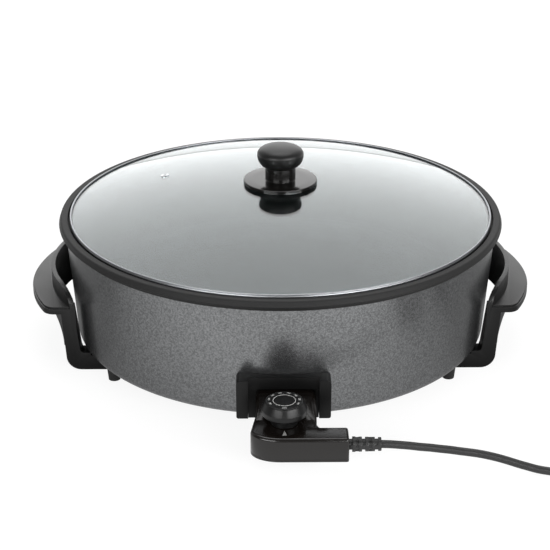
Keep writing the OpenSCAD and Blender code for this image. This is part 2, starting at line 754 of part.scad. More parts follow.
module control_cover() on_axis() color(black) difference() {
    translate([0, 0, control_z]) linear_extrude(cover_t - 0.05) union() {
        body_plan();
        arm_plan();
    }
    for (p = posts) translate([p[0], -p[1], control_z - 1]) {
        cylinder(r = screw_r + 0.3, h = cover_t + 2);
        cylinder(r = 3, h = 2.2);
    }
}

module cover_screws() on_axis() color(steel)
    for (p = posts) translate([p[0], -p[1], control_z]) {
        translate([0, 0, 0.1]) cylinder(r = 2.7, h = 1.05);
        cylinder(r = screw_r - fit, h = cover_screw_len);
    }

module contact_sleeves() on_axis() color("#b89a5a")
    for (s = [-1, 1]) difference() {
        front_rod(s * pin_x, nose_y + case_t + 0.1, pin_z, sleeve_r, sleeve_len);
        front_rod(s * pin_x, nose_y, pin_z, pin_d / 2 + fit, pin_len + 3);
    }

module sensor_probe() on_axis() color(steel) {
    tip_y = probe_tip_y + probe_d / 2;
    front_rod(0, tip_y, pin_z, probe_d / 2, nose_y + probe_tail - tip_y);
    translate([0, -tip_y, pin_z]) sphere(r = probe_d / 2, $fn = 48);
}

module thermostat() on_axis() color("#c9b48a") difference() {
    translate([-10, -dial_y - 9, case_z + 0.2])
        cube([20, 18, deck_z - case_t - case_z - 0.4]);
    front_rod(0, nose_y, pin_z, probe_d / 2 + 0.1, probe_tail + 0.5);
    translate([0, -dial_y, deck_z - case_t - 6]) cylinder(r = spindle_d / 2 + fit, h = 10);
}

// Dial on a narrower collar: a skirt round its foot, and sides that draw in to its top
module dial() on_axis() color(black) translate([0, -dial_y, 0]) difference() {
    r = dial_d / 2;
    c = collar_d / 2;
    t = dial_top_d / 2;
    blend = 2;
    skirt_z = dial_z + blend;
    rotate_extrude() polygon(concat(
        [[0, collar_z], [c, collar_z]],
        arc(c + blend, dial_z - blend, blend, 180, 90, 5),
        arc(r - blend, skirt_z, blend, -90, 0, 5),
        [[r, skirt_z + dial_skirt_h]],
        arc(t - blend, dial_top - blend, blend, 25, 90, 5),
        [[0, dial_top]]));
    translate([0, 0, collar_z - 1]) cylinder(r = spindle_d / 2 + 0.02, h = collar_h + 1);
}

module dial_spindle() on_axis() color(steel)
    translate([0, -dial_y, deck_z - case_t - 5])
        cylinder(r = spindle_d / 2, h = case_t + 5 + collar_h);

// Cord guard: rings on a tube, joined by short bars that change sides
module strain_relief() on_axis() color(black)
    translate([arm_x, -arm_y, boot_z]) rotate([0, 90, 0]) {
        rings = 5;
        pitch = boot_len / rings;
        ring_w2 = pitch * 0.45;
        core = cord_r + 0.9;
        cylinder(r = core, h = boot_len);
        for (i = [0:rings - 1]) {
            translate([0, 0, (i + 1) * pitch - ring_w2])
                cylinder(r = boot_d / 2 - i * boot_taper, h = ring_w2);
            rotate([0, 0, 90 * (i % 2)]) for (s = [-1, 1])
                translate([-boot_d * 0.14, s * (core + boot_d / 2 - 1) / 2 - 1, i * pitch])
                    cube([boot_d * 0.28, 2, pitch]);
        }
        translate([0, 0, -case_t - 0.2]) cylinder(r = boot_d / 2 - 1.6, h = case_t + 0.3);
        translate([0, 0, -case_t - 3]) cylinder(r = boot_d / 2 + 1, h = 2.9);
    }

// ---- cord ----

function unit(v) = v / norm(v);
// Direction of a route at point i: along the chord between its neighbours
function along(p, i) = unit(p[min(i + 1, len(p) - 1)] - p[max(i - 1, 0)]);
// One ring of points round a route at point i
function ring(p, i, r, sides) =
    let (t = along(p, i), u = unit(cross([0, 0, 1], t)), v = cross(t, u))
    [for (k = [0:sides - 1]) let (a = 360 * k / sides) p[i] + r * (u * cos(a) + v * sin(a))];

module tube(p, r, sides = 12) {
    n = len(p);
    polyhedron(
        points = [for (i = [0:n - 1]) each ring(p, i, r, sides)],
        faces = concat(
            [[for (k = [0:sides - 1]) k]],
            [for (i = [0:n - 2], k = [0:sides - 1]) let (a = i * sides, b = (k + 1) % sides)
                each [[a + k, a + sides + k, a + b], [a + b, a + sides + k, a + sides + b]]],
            [[for (k = [sides - 1:-1:0]) (n - 1) * sides + k]]));
}

module mains_cord() color(black) tube(route, cord_r);
module cord_tail() color(black) tube(tail, cord_r);

// The stowed turns lie on each other, so their outer shape is a tall ring
module cord_coil() color(black) translate([coil_at[0], coil_at[1], 0])
    rotate_extrude() translate([coil_r, 0]) polygon(concat(
        arc(0, cord_r, cord_r, 180, 360, 8),
        arc(0, coil_h - cord_r, cord_r, 0, 180, 8)));

module cord_tie() color("#202020")
    translate([coil_at[0] - coil_r, coil_at[1] + tie_w / 2, coil_h / 2]) rotate([90, 0, 0])
        linear_extrude(tie_w) difference() {
            square([cord_d + 2 * tie_t, coil_h - cord_d + 2 * tie_t], center = true);
            square([cord_d, coil_h - cord_d], center = true);
        }

// Round two-pin plug with a tapered body, lying on its side
module plug_body() color(black) translate(plug_at) rotate([-90, 0, 0]) difference() {
    r = plug_d / 2;
    top = plug_neck + plug_taper;
    rotate_extrude() polygon([[0, 0], [cord_r + 1.2, 0], [cord_r + 3, plug_neck],
        [cord_r + 5.5, plug_neck], [r - 3, plug_neck + plug_taper * 0.7],
        [r - 1, top], [r, top + 1], [r, top + plug_face - 1], [r - 1, top + plug_face],
        [0, top + plug_face]]);
    // slots for the earth contacts at the sides, and the hole for an earth pin
    for (s = [-1, 1]) translate([-4, s * (r - 1) - 1.5, top + 2]) cube([8, 3, plug_face]);
    translate([0, -4, top]) cylinder(r = 2.5, h = plug_face + 1);
    for (s = [-1, 1]) translate([s * plug_pitch / 2, 0, top + plug_face - plug_socket])
        cylinder(r = plug_root_r + 0.02, h = plug_socket + 1);
}

// Each pin has a thinner root that the body is moulded round
module plug_pins() color(steel) translate(plug_at) rotate([-90, 0, 0])
    for (s = [-1, 1])
        translate([s * plug_pitch / 2, 0, plug_neck + plug_taper + plug_face]) {
            translate([0, 0, -plug_socket]) cylinder(r = plug_root_r, h = plug_socket + 1);
            translate([0, 0, 0.5]) cylinder(r = plug_pin_d / 2, h = plug_pin_len - 1.5);
            translate([0, 0, plug_pin_len - 1])
                cylinder(r1 = plug_pin_d / 2, r2 = plug_pin_d / 2 - 1, h = 1, $fn = 48);
        }

pan();
heating_element();
terminal_pins();
pin_insulators();
socket_shroud();
shroud_screws();
handle_left();
handle_right();
handle_screws();
rubber_feet();
foot_screws();
lid_glass();
lid_band();
vent_eyelet();
knob_base();
knob_head();
knob_washer();
knob_screw();
control_housing();
control_cover();
cover_screws();
contact_sleeves();
sensor_probe();
thermostat();
dial();
dial_spindle();
strain_relief();
mains_cord();
cord_coil();
cord_tail();
cord_tie();
plug_body();
plug_pins();
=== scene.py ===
import json
import math
import bpy
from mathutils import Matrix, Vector


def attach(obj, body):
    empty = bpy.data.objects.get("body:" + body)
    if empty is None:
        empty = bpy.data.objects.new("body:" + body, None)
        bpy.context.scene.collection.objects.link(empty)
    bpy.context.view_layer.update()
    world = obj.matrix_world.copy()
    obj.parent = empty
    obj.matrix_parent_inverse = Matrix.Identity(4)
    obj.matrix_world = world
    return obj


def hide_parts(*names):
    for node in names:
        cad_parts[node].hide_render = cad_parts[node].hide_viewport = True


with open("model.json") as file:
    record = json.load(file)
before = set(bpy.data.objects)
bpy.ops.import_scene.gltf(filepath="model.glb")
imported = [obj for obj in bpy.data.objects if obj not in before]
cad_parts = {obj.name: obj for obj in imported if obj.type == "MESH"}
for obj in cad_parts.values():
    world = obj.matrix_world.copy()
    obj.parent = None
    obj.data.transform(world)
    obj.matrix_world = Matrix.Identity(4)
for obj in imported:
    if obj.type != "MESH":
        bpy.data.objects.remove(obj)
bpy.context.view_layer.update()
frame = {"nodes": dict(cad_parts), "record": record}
nodes = frame["nodes"]
mm = 0.001
panY = 30  # the pan's axis stands this many mm behind the middle of the footprint


def hexColour(text):
    parts = [int(text[i:i + 2], 16) / 255 for i in (1, 3, 5)]
    return [p / 12.92 if p <= 0.04045 else ((p + 0.055) / 1.055) ** 2.4 for p in parts] + [1.0]


def addNode(tree, kind, inputs=None, **settings):
    made = tree.nodes.new(kind)
    for key, value in settings.items():
        setattr(made, key, value)
    for key, value in (inputs or {}).items():
        if isinstance(value, bpy.types.NodeSocket):
            tree.links.new(value, made.inputs[key])
        else:
            made.inputs[key].default_value = value
    return made


def deselectAll():
    if bpy.context.object and bpy.context.object.mode != "OBJECT":
        bpy.ops.object.mode_set(mode="OBJECT")
    bpy.ops.object.select_all(action="DESELECT")


# camera: a long lens, about half a metre above the lid and 2 cm to the left of the dial
camera = {"place": (-0.0202, -1.3339, 0.681), "down": 24.36, "turn": -0.63, "lens": 98.18}
bpy.ops.object.camera_add(location=camera["place"],
                          rotation=(math.radians(90 - camera["down"]), 0, math.radians(camera["turn"])))
bpy.context.scene.camera = bpy.context.object
bpy.context.object.data.lens = camera["lens"]
bpy.context.object.data.clip_start = 0.05
print("camera placed")

# mains cord: along the worktop, then wound in a round coil with its plug beside it
cord = {
    "thick": 7, "coilAt": (290, -207), "coilR": 40, "turns": 3.25, "perTurn": 20, "steps": 5,
    "route": [(82, -234, 25), (90, -234, 24.7), (98, -234, 24), (107, -234, 23.1), (115, -234, 22),
              (124, -234, 21.1), (132, -234, 20), (141, -234.4, 19.1), (150, -235, 18), (158, -235.5, 17.1),
              (166, -236, 16), (174, -237, 14.7), (182, -238, 13), (188, -239, 11.6), (194, -240, 10),
              (200, -241, 8.4), (206, -242, 7), (212, -243, 5.6), (218, -244, 4.6), (225, -245, 3.9),
              (232, -246, 3.6), (250, -247, 3.5), (270, -247, 3.5)],
    "tail": [(330, -192, 25.6), (330, -180, 23.5), (330, -168, 20.5), (330, -156, 18.3), (330, -144, 17.5)],
}


def cordPoints():
    points = list(cord["route"])
    steps = round(cord["turns"] * cord["perTurn"])
    for i in range(steps + 1):
        turn = i / cord["perTurn"]
        a = math.radians(-90 + 360 * turn)
        points.append((cord["coilAt"][0] + cord["coilR"] * math.cos(a),
                       cord["coilAt"][1] + cord["coilR"] * math.sin(a),
                       cord["thick"] / 2 + cord["thick"] * turn))
    return points + cord["tail"]


def makeCord():
    points = cordPoints()
    curve = bpy.data.curves.new("mainsCord", "CURVE")
    curve.dimensions = "3D"
    spline = curve.splines.new("BEZIER")
    spline.bezier_points.add(len(points) - 1)
    for point, place in zip(spline.bezier_points, points):
        point.co = [v * mm for v in place]
        point.handle_left_type = point.handle_right_type = "AUTO"
    spline.resolution_u = cord["steps"]
    curve.bevel_depth = cord["thick"] / 2 * mm
    curve.bevel_resolution = cord["steps"]
    curve.use_fill_caps = True
    made = bpy.data.objects.new("mainsCord", curve)
    bpy.context.collection.objects.link(made)
    return made


mainsCord = makeCord()
print("cord laid")


# finishes
def newMaterial(name):
    made = bpy.data.materials.new(name)
    made.use_nodes = True
    tree = made.node_tree
    tree.nodes.clear()
    shader = addNode(tree, "ShaderNodeBsdfPrincipled")
    addNode(tree, "ShaderNodeOutputMaterial", {"Surface": shader.outputs[0]})
    where = addNode(tree, "ShaderNodeTexCoord").outputs["Object"]
    return made, tree, shader, where


def endWith(tree, shader):
    out = [n for n in tree.nodes if n.type == "OUTPUT_MATERIAL"][0]
    tree.links.new(shader.outputs[0], out.inputs["Surface"])


def setShader(tree, shader, **values):
    for key, value in values.items():
        socket = shader.inputs[key.replace("_", " ")]
        if isinstance(value, bpy.types.NodeSocket):
            tree.links.new(value, socket)
        else:
            socket.default_value = value


def moulded(name, colour, rough, grain=0.5, height=0.012, shade=0.1, ior=1.5, wander=0.04, level=0.5):
    # moulded plastic or rubber, pressed ceramic or printed ink: even colour, faint flow marks, and a fine
    # grain that breaks the gloss
    flow = 22  # mm from one flow mark to the next
    made, tree, shader, where = newMaterial(name)
    cloud = addNode(tree, "ShaderNodeTexNoise", {"Vector": where, "Scale": 1000 / flow, "Detail": 3})
    dots = addNode(tree, "ShaderNodeTexNoise", {"Vector": where, "Scale": 1000 / grain, "Detail": 2})
    tint = addNode(tree, "ShaderNodeMapRange", {"Value": cloud.outputs[0], "To Min": 1 - shade,
                                                "To Max": 1 + shade})
    paint = addNode(tree, "ShaderNodeMix", {"Factor": 1.0, "A": hexColour(colour), "B": tint.outputs[0]},
                    data_type="RGBA", blend_type="MULTIPLY")
    gloss = addNode(tree, "ShaderNodeMapRange", {"Value": cloud.outputs[0], "To Min": rough - wander,
                                                 "To Max": rough + wander})
    bump = addNode(tree, "ShaderNodeBump", {"Height": dots.outputs[0], "Strength": 0.5,
                                            "Distance": height * mm})
    setShader(tree, shader, Base_Color=paint.outputs["Result"], Roughness=gloss.outputs[0],
              Normal=bump.outputs[0], IOR=ior, Specular_IOR_Level=level)
    return made


def metal(name, colour, rough, stretch=(1, 1, 14)):
    # drawn or turned metal: fine marks along the way it was worked, made coarser than real so that they show
    grain, deep, wander = 3.5, 0.01, 0.08  # marks apart and deep in mm, and how far the gloss moves
    made, tree, shader, where = newMaterial(name)
    way = addNode(tree, "ShaderNodeMapping", {"Vector": where, "Scale": stretch})
    marks = addNode(tree, "ShaderNodeTexNoise", {"Vector": way.outputs[0], "Scale": 1000 / grain,
                                                 "Detail": 4})
    gloss = addNode(tree, "ShaderNodeMapRange", {"Value": marks.outputs[0], "To Min": rough - wander,
                                                 "To Max": rough + wander})
    bump = addNode(tree, "ShaderNodeBump", {"Height": marks.outputs[0], "Strength": 0.3,
                                            "Distance": deep * mm})
    setShader(tree, shader, Base_Color=hexColour(colour), Metallic=1.0, Roughness=gloss.outputs[0],
              Normal=bump.outputs[0])
    return made


# cell, cloud and drift are the sizes of the paint's patterns in mm, light and dark its shades at the two ends
# of the pattern, driftBy the slow change over the whole pan, and deep the valleys' depth in mm
# rimFrom, baseTo and footZ are heights in mm, wallFoot is the wall's radius at footZ, skin its painted depth
enamel = {"wall": "#747576", "wallMetal": 0.9, "wallRough": 0.27, "rim": "#262626", "rimRough": 0.56,
          "inside": "#141414", "insideRough": 0.42, "level": 0.14, "cell": 1.3, "cloud": 2.4, "drift": 60,
          "ends": (0.6, 1.2), "light": 1.23, "dark": 0.71, "driftBy": 0.07, "deep": 0.1, "rimFrom": 124.5,
          "baseTo": 24.5, "footZ": 25, "wallFoot": 202, "lean": 7 / 99, "skin": 3.5}


def hammeredEnamel():
    # hammered metallic enamel outside: small round cells with darker valleys, as the thick paint draws
    # together; the rim and the inside have smooth black enamel, and the line between them is sharp
    made, tree, shader, where = newMaterial("hammeredEnamel")
    place = addNode(tree, "ShaderNodeSeparateXYZ", {0: where})
    aside = addNode(tree, "ShaderNodeMath", {0: place.outputs["Y"], 1: panY * mm}, operation="SUBTRACT")
    spot = addNode(tree, "ShaderNodeCombineXYZ", {0: place.outputs["X"], 1: aside.outputs[0], 2: 0.0})
    reach = addNode(tree, "ShaderNodeVectorMath", {0: spot.outputs[0]}, operation="LENGTH")
    # the wall leans: what is deeper than its skin below the outer face belongs to the inside
    start = (enamel["wallFoot"] - enamel["skin"] - enamel["footZ"] * enamel["lean"]) * mm
    lean = addNode(tree, "ShaderNodeMath", {0: place.outputs["Z"], 1: enamel["lean"], 2: start},
                   operation="MULTIPLY_ADD")
    outside = addNode(tree, "ShaderNodeMath", {0: reach.outputs["Value"], 1: lean.outputs[0]},
                      operation="GREATER_THAN")
    below = addNode(tree, "ShaderNodeMath", {0: place.outputs["Z"], 1: enamel["rimFrom"] * mm},
                    operation="LESS_THAN")
    base = addNode(tree, "ShaderNodeMath", {0: place.outputs["Z"], 1: enamel["baseTo"] * mm},
                   operation="LESS_THAN")
    wall = addNode(tree, "ShaderNodeMath", {0: outside.outputs[0], 1: below.outputs[0]}, operation="MULTIPLY")
    wall = addNode(tree, "ShaderNodeMath", {0: wall.outputs[0], 1: base.outputs[0]}, operation="MAXIMUM")
    atRim = addNode(tree, "ShaderNodeMath", {0: place.outputs["Z"], 1: enamel["rimFrom"] * mm},
                    operation="GREATER_THAN")

    cells = addNode(tree, "ShaderNodeTexVoronoi", {"Vector": where, "Scale": 1000 / enamel["cell"]},
                    feature="SMOOTH_F1")
    cloud = addNode(tree, "ShaderNodeTexNoise", {"Vector": where, "Scale": 1000 / enamel["cloud"],
                                                 "Detail": 2})
    drift = addNode(tree, "ShaderNodeTexNoise", {"Vector": where, "Scale": 1000 / enamel["drift"],
                                                 "Detail": 2})
    mixed = addNode(tree, "ShaderNodeMath", {0: cells.outputs["Distance"], 1: cloud.outputs[0]},
                    operation="ADD")
    crest, valley = enamel["ends"]
    paint = addNode(tree, "ShaderNodeMapRange", {"Value": mixed.outputs[0], "From Min": crest,
                                                "From Max": valley, "To Min": enamel["light"],
                                                "To Max": enamel["dark"]})
    wide = addNode(tree, "ShaderNodeMapRange", {"Value": drift.outputs[0], "To Min": 1 - enamel["driftBy"],
                                               "To Max": 1 + enamel["driftBy"]})
    shade = addNode(tree, "ShaderNodeMath", {0: paint.outputs[0], 1: wide.outputs[0]}, operation="MULTIPLY")
    grey = addNode(tree, "ShaderNodeMix", {"Factor": 1.0, "A": hexColour(enamel["wall"]),
                                           "B": shade.outputs[0]}, data_type="RGBA", blend_type="MULTIPLY")
    black = addNode(tree, "ShaderNodeMix", {"Factor": atRim.outputs[0], "A": hexColour(enamel["inside"]),
                                            "B": hexColour(enamel["rim"])}, data_type="RGBA")
    colour = addNode(tree, "ShaderNodeMix", {"Factor": wall.outputs[0], "A": black.outputs["Result"],
                                             "B": grey.outputs["Result"]}, data_type="RGBA")
    metalness = addNode(tree, "ShaderNodeMath", {0: wall.outputs[0], 1: enamel["wallMetal"]},
                        operation="MULTIPLY")
    smooth = addNode(tree, "ShaderNodeMix", {"Factor": atRim.outputs[0], "A": enamel["insideRough"],
                                             "B": enamel["rimRough"]}, data_type="FLOAT")
    smooth = addNode(tree, "ShaderNodeMath", {0: smooth.outputs[0], 1: wide.outputs[0]}, operation="MULTIPLY")
    rough = addNode(tree, "ShaderNodeMix", {"Factor": wall.outputs[0], "A": smooth.outputs[0],
                                            "B": enamel["wallRough"]}, data_type="FLOAT")
    height = addNode(tree, "ShaderNodeMath", {0: mixed.outputs[0], 1: wall.outputs[0]}, operation="MULTIPLY")
    bump = addNode(tree, "ShaderNodeBump", {"Height": height.outputs[0], "Strength": 0.3,
                                            "Distance": enamel["deep"] * mm}, invert=True)
    setShader(tree, shader, Base_Color=colour.outputs["Result"], Roughness=rough.outputs[0],
              Metallic=metalness.outputs[0], Normal=bump.outputs[0], Specular_IOR_Level=enamel["level"])
    return made


toughened = {"tint": "#e6f2f4", "shadow": "#dfe6e4", "ior": 1.6}


def toughenedGlass():
    # toughened soda-lime glass: clear and a little cool, and it lets light through to the pan
    made, tree, shader, where = newMaterial("toughenedGlass")
    setShader(tree, shader, Base_Color=hexColour(toughened["tint"]), Roughness=0.0, IOR=toughened["ior"],
              Transmission_Weight=1.0)
    ways = addNode(tree, "ShaderNodeLightPath")
    clear = addNode(tree, "ShaderNodeBsdfTransparent", {"Color": hexColour(toughened["shadow"])})
    passing = addNode(tree, "ShaderNodeMath", {0: ways.outputs["Is Shadow Ray"],
                                               1: ways.outputs["Is Diffuse Ray"]}, operation="MAXIMUM")
    both = addNode(tree, "ShaderNodeMixShader", {0: passing.outputs[0], 1: shader.outputs[0],
                                                 2: clear.outputs[0]})
    endWith(tree, both)
    return made


finishes = {
    "hammered_paint": hammeredEnamel(),
    "heater_steel": metal("heatDulledSteel", "#6b6560", 0.45),
    "bright_steel": metal("stainlessSteel", "#c8cacc", 0.22),
    "ceramic": moulded("steatiteCeramic", "#d8d2c4", 0.6),
    "black_plastic": moulded("satinPhenolic", "#0c0c0c", 0.36, ior=1.45, level=0.4),
    "black_rubber": moulded("blackSyntheticRubber", "#1b1b1b", 0.5),
    "contact_brass": metal("drawnBrass", "#b6955a", 0.3),
    "glass": toughenedGlass(),
}
for part in frame["record"]["subparts"]:
    mesh = nodes[part["node"]].data
    mesh.materials.clear()
    mesh.materials.append(finishes[part["material_slot"]])
print("finishes made")

# the knob's base and the control come from polished moulds, with clear reflections
glossPhenolic = moulded("glossPhenolic", "#0d0c0b", 0.15, height=0.003, wander=0.02)
controlPhenolic = moulded("controlPhenolic", "#100d0b", 0.2, height=0.005, wander=0.03, level=0.42)
# the knob's head and the dial come from blasted moulds, with a soft sheen
knobPhenolic = moulded("knobPhenolic", "#0b0b0b", 0.4, height=0.008, level=0.42)
dialPhenolic = moulded("dialPhenolic", "#0b0b0b", 0.36, height=0.01, level=0.3)
# mineral-filled for heat, so it is duller
shroudPhenolic = moulded("shroudPhenolic", "#0a0a0a", 0.42, level=0.22)
# rolled to its section and not polished after
bandSteel = metal("rolledSteelBand", "#96989b", 0.33, stretch=(1, 1, 6))
# matt inks, the pointer's a little greyer than the scale's
pointerInk = moulded("pointerInk", "#929290", 0.5, grain=0.3, height=0.006, shade=0.05)
padInk = moulded("padPrintInk", "#b4b4b2", 0.5, grain=0.3, height=0.006, shade=0.05)

nodes["lid_band"].data.materials[0] = bandSteel

# moulded pieces: their edges are rounded as a mould leaves them
# node: rounding in mm, steps in it, slot, finish where it isn't the slot's own
edges = {
    "handle_left": (1.2, 3, "black_plastic", None),
    "handle_right": (1.2, 3, "black_plastic", None),
    "socket_shroud": (1.0, 3, "black_plastic", shroudPhenolic),
    "control_housing": (0.8, 3, "black_plastic", controlPhenolic),
    "plug_body": (0.6, 2, "black_plastic", None),
    "control_cover": (0.5, 2, "black_plastic", controlPhenolic),
    "strain_relief": (0.4, 2, "black_rubber", None),
    "cord_tie": (0.5, 2, "black_plastic", None),
}


# corners within weld mm are merged; the rest are degrees: faces flatter than flat become one, edges sharper
# than sharp are rounded, and those softer than smooth are shaded as one, on rounded and on turned pieces
shaping = {"weld": 0.02, "flat": 0.6, "sharp": 38, "smooth": 40, "turnedSmooth": 35}


def bodyOf(node):
    return [b for b, held in frame["record"]["behaviour"]["bodies"].items() if node in held][0]


def standsFor(piece, node, slot, finish=None):
    piece.data.materials.clear()
    piece.data.materials.append(finish or finishes[slot])
    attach(piece, bodyOf(node))
    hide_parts(node)
    print(piece.name, "made,", len(piece.data.polygons), "faces")


def roundedCopy(node, width, segments, slot, finish=None):
    deselectAll()
    piece = nodes[node].copy()
    piece.data = nodes[node].data.copy()
    words = node.split("_")
    piece.name = words[0] + "".join(w.title() for w in words[1:]) + "Rounded"
    bpy.context.collection.objects.link(piece)
    bpy.context.view_layer.objects.active = piece
    piece.select_set(True)
    bpy.ops.object.mode_set(mode="EDIT")
    bpy.ops.mesh.select_all(action="SELECT")
    bpy.ops.mesh.remove_doubles(threshold=shaping["weld"] * mm)
    bpy.ops.mesh.dissolve_limited(angle_limit=math.radians(shaping["flat"]))
    bpy.ops.object.mode_set(mode="OBJECT")
    bevel = piece.modifiers.new("edges", "BEVEL")
    bevel.limit_method = "ANGLE"
    bevel.angle_limit = math.radians(shaping["sharp"])
    bevel.width = width * mm
    bevel.segments = segments
    bevel.miter_outer = "MITER_ARC"
    bpy.ops.object.modifier_apply(modifier=bevel.name)
    bpy.ops.object.shade_smooth_by_angle(angle=math.radians(shaping["smooth"]))
    standsFor(piece, node, slot, finish)


def bend(x, z, r, start, stop, steps=6):
    # points of a rounding about (x, z) in a turned profile
    return [(x + r * math.cos(math.radians(start + (stop - start) * i / steps)),
             z + r * math.sin(math.radians(start + (stop - start) * i / steps))) for i in range(steps + 1)]


def turned(name, profile, at, around=96):
    # a disc is pulled up and scaled from one height of its profile to the next, as on a lathe
    deselectAll()
    wide, high = profile[0]
    bpy.ops.mesh.primitive_circle_add(vertices=around, radius=wide * mm, fill_type="NGON",
                                      location=(at[0] * mm, at[1] * mm, high * mm))
    piece = bpy.context.object
    piece.name = name
    bpy.ops.object.mode_set(mode="EDIT")
    bpy.ops.mesh.select_all(action="SELECT")
    for newWide, newHigh in profile[1:]:
        bpy.ops.mesh.extrude_region_move(TRANSFORM_OT_translate={"value": (0, 0, (newHigh - high) * mm)})
        bpy.ops.transform.resize(value=(newWide / wide, newWide / wide, 1),
                                 center_override=(at[0] * mm, at[1] * mm, newHigh * mm))
        wide, high = newWide, newHigh
    bpy.ops.mesh.select_all(action="SELECT")
    bpy.ops.mesh.normals_make_consistent(inside=False)
    bpy.ops.object.mode_set(mode="OBJECT")
    bpy.ops.object.transform_apply(location=True, rotation=True, scale=True)
    bpy.ops.object.shade_smooth_by_angle(angle=math.radians(shaping["turnedSmooth"]))
    return piece


for node, (width, segments, slot, finish) in edges.items():
    roundedCopy(node, width, segments, slot, finish)

# lid glass: an even dome, so that reflections run smoothly over it, with the hole for the vent's eyelet
lidGlass = {"r": 204.1, "thick": 3.6, "domeR": 771.15, "domeTop": 163, "boreR": 5, "rings": 40, "around": 180,
            "ventR": 123, "ventAt": 159, "ventWide": 6.4, "drillLong": 12}


def domeHeight(r):
    return lidGlass["domeTop"] - lidGlass["domeR"] + math.sqrt(lidGlass["domeR"] ** 2 - r * r)


def makeLidGlass():
    bore, steps = lidGlass["boreR"], lidGlass["rings"]
    rings = [bore + (lidGlass["r"] - bore) * i / steps for i in range(steps + 1)]
    profile = [(r, domeHeight(r) - lidGlass["thick"]) for r in rings]
    profile += [(r, domeHeight(r)) for r in reversed(rings)]
    piece = turned("lidGlassTurned", profile, (0, panY), around=lidGlass["around"])
    turn = math.radians(lidGlass["ventAt"])
    r = lidGlass["ventR"]
    deselectAll()
    bpy.ops.mesh.primitive_cylinder_add(vertices=48, radius=lidGlass["ventWide"] / 2 * mm,
                                        depth=lidGlass["drillLong"] * mm,
                                        location=(r * math.cos(turn) * mm, (panY + r * math.sin(turn)) * mm,
                                                  (domeHeight(r) - lidGlass["thick"] / 2) * mm),
                                        rotation=(0, math.asin(r / lidGlass["domeR"]), turn))
    drill = bpy.context.object
    deselectAll()
    bpy.context.view_layer.objects.active = piece
    piece.select_set(True)
    hole = piece.modifiers.new("ventHole", "BOOLEAN")
    hole.operation = "DIFFERENCE"
    hole.object = drill
    bpy.ops.object.modifier_apply(modifier=hole.name)
    bpy.data.objects.remove(drill)
    bpy.ops.object.shade_smooth_by_angle(angle=math.radians(shaping["turnedSmooth"]))
    standsFor(piece, "lid_glass", "glass")


makeLidGlass()

# lid band: the steel is rolled over the edge of the glass in a narrow bead
bead = {"r": 203.6, "thick": 1.8, "z": 136.5}


def makeBandBead():
    deselectAll()
    bpy.ops.mesh.primitive_torus_add(major_radius=bead["r"] * mm, minor_radius=bead["thick"] / 2 * mm,
                                     major_segments=180, minor_segments=14,
                                     location=(0, panY * mm, bead["z"] * mm))
    piece = bpy.context.object
    piece.name = "lidBandBead"
    bpy.ops.object.transform_apply(location=True, rotation=True, scale=True)
    bpy.ops.object.shade_smooth()
    piece.data.materials.append(bandSteel)
    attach(piece, "lid")
    print("band rolled")


makeBandBead()

# knob: a low mushroom head on a short neck and a flat skirt
# the two steps are degrees; full below 1 makes the cap fuller than an ellipse; tip is its flat top's share
knob = {"headR": 22.5, "headLow": 180.05, "widest": 191.5, "headTop": 200.5, "neckR": 14.75,
        "skirtR": 35.75, "skirtTop": 166.5, "skirtEdge": 0.9, "fillet": 0.4, "bowlStep": 9, "capStep": 5.6,
        "full": 0.8, "tip": 0.06}


def makeKnob():
    headR, neckR, widest = knob["headR"], knob["neckR"], knob["widest"]
    low, top = knob["headLow"], knob["headTop"]
    # a bowl from the neck to the widest line, and a full cap above it
    head = [(neckR - 1, low), (neckR + 0.3, low)]
    for i in range(1, 10):
        a = math.radians(knob["bowlStep"] * i)
        head.append((neckR + 0.4 + (headR - neckR - 0.4) * math.sin(a),
                     low + (widest - low) * (1 - math.cos(a))))
    head += [(headR, widest), (headR + 0.05, widest + 0.25)]
    for i in range(1, 16):
        a = math.radians(knob["capStep"] * i)
        head.append((headR * math.cos(a) ** knob["full"], widest + 0.3 + (top - widest - 0.3) * math.sin(a)))
    head.append((headR * knob["tip"], top))
    standsFor(turned("knobHeadTurned", head, (0, panY)), "knob_head", "black_plastic", knobPhenolic)

    # the skirt follows the dome below, and runs into the neck with a small fillet
    skirtR, skirtTop, edge, fillet = knob["skirtR"], knob["skirtTop"], knob["skirtEdge"], knob["fillet"]
    skirt = [(r, domeHeight(r) + 0.1) for r in (4, 20, skirtR - 0.7)]
    skirt += [(skirtR, domeHeight(skirtR) + 0.8)]
    skirt += bend(skirtR - edge, skirtTop - 0.15 - edge, edge, 0, 84)
    skirt += [(skirtR * 0.7, skirtTop - 0.15), (neckR + 3, skirtTop)]
    skirt += bend(neckR + fillet, skirtTop + fillet, fillet, -90, -180, 4)
    skirt += [(neckR, low - 0.8), (neckR - 0.6, low - 0.1), (neckR - 3, low - 0.1)]
    standsFor(turned("knobBaseTurned", skirt, (0, panY)), "knob_base", "black_plastic", glossPhenolic)


makeKnob()

# temperature dial with its printed scale; the scale turns with it
dial = {"at": (0, -215.9), "r": 19.5, "topR": 17, "collarR": 11.75, "low": 36.4, "shoulder": 44.8,
        "skirt": 4, "top": 57.8, "round": 2, "lip": 1.2, "boreR": 3.1, "sunk": 0.12, "ringR": 9.6,
        "ringWide": 0.3, "scaleR": 13.1, "digits": 2.3, "inkHigh": 0.03, "inkBold": 0.06,
        "marks": ("100", "120", "140", "160", "180", "200", "220", "240"), "from": 205, "step": -33,
        "offAt": 270}


